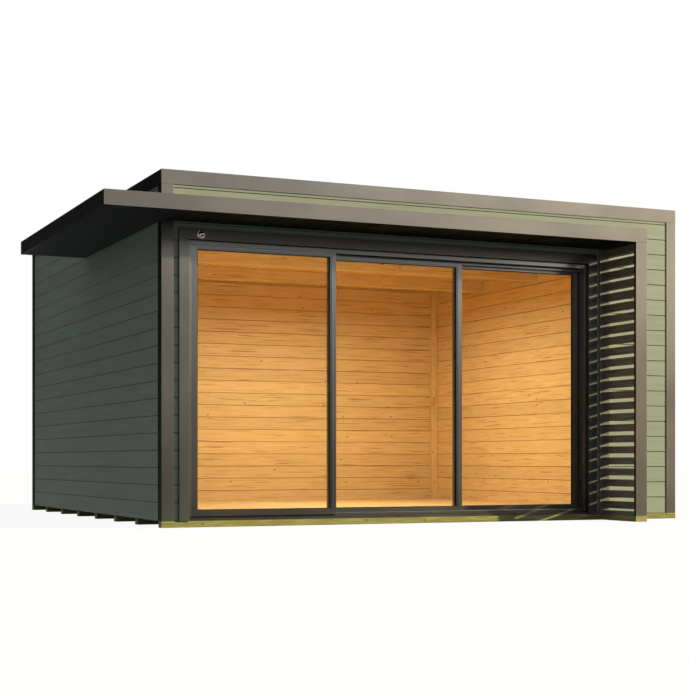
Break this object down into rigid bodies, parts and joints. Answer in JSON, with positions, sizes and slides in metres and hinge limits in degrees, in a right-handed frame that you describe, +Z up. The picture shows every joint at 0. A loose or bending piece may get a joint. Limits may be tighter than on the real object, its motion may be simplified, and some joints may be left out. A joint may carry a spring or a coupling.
{
  "type": "garden office pod",
  "caption": "Flat-roofed log garden office with a sliding glass door, a canopy wrapped round one front corner and a slatted side screen, standing on timber bearers.",
  "frame": {"origin": "centre of the footprint on the ground, canopy included", "axes": "+X to the right along the front, +Y from the door to the back wall, +Z up"},
  "size_m": [4.859, 4.662, 2.5],
  "materials": {
    "painted_boards": "satin grey-green paint on planed boards",
    "folded_trim": "bronze-grey metallic coat, satin",
    "treated_timber": "pressure-treated sawn softwood",
    "pine": "planed pine, clear finish",
    "stained_slats": "dark stain, matte",
    "soffit_boards": "dark grey stain, matte",
    "door_aluminium": "powder coated, satin",
    "glazing": "clear double glazing",
    "roofing": "matte roofing sheet",
    "polished_metal": "polished"
  },
  "bodies": {
    "building": {"floor_bearers": "treated_timber", "screen_bearer": "treated_timber", "floor_deck": "pine", "left_wall": "painted_boards", "right_wall": "painted_boards", "back_wall": "painted_boards", "front_wall_left": "painted_boards", "front_wall_right": "painted_boards", "front_wall_head": "painted_boards", "corner_trim_front_left": "folded_trim", "corner_trim_front_right": "folded_trim", "corner_trim_back_right": "folded_trim", "corner_trim_back_left": "folded_trim", "inner_corner_posts": "pine", "roof_beams": "pine", "roof_deck": "pine", "roof_membrane": "roofing", "roof_edge_front": "folded_trim", "roof_edge_right": "folded_trim", "roof_edge_back": "folded_trim", "roof_edge_left": "folded_trim", "canopy_soffit": "soffit_boards", "canopy_deck": "roofing", "canopy_band_front": "folded_trim", "canopy_band_left": "folded_trim", "canopy_band_back": "folded_trim", "canopy_band_right": "folded_trim", "screen_front_board": "folded_trim", "screen_wall_post": "stained_slats", "screen_slats": "stained_slats", "door_trim_left": "folded_trim", "door_trim_right": "folded_trim", "door_trim_head": "folded_trim", "door_head_track": "door_aluminium", "door_sill_track": "door_aluminium", "door_jamb_left": "door_aluminium", "door_jamb_right": "door_aluminium", "left_leaf_frame": "door_aluminium", "left_leaf_glass": "glazing", "dome_lamp": "polished_metal"},
    "middle_leaf": {"middle_leaf_frame": "door_aluminium", "middle_leaf_glass": "glazing"},
    "right_leaf": {"right_leaf_frame": "door_aluminium", "right_leaf_glass": "glazing"}
  },
  "joints": [
    {"name": "middle_leaf_slide", "type": "slide", "parent": "building", "child": "middle_leaf", "axis": [-1, 0, 0], "range_m": [0, 1.06]},
    {"name": "right_leaf_slide", "type": "slide", "parent": "building", "child": "right_leaf", "axis": [-1, 0, 0], "range_m": [0, 2.12]}
  ]
}
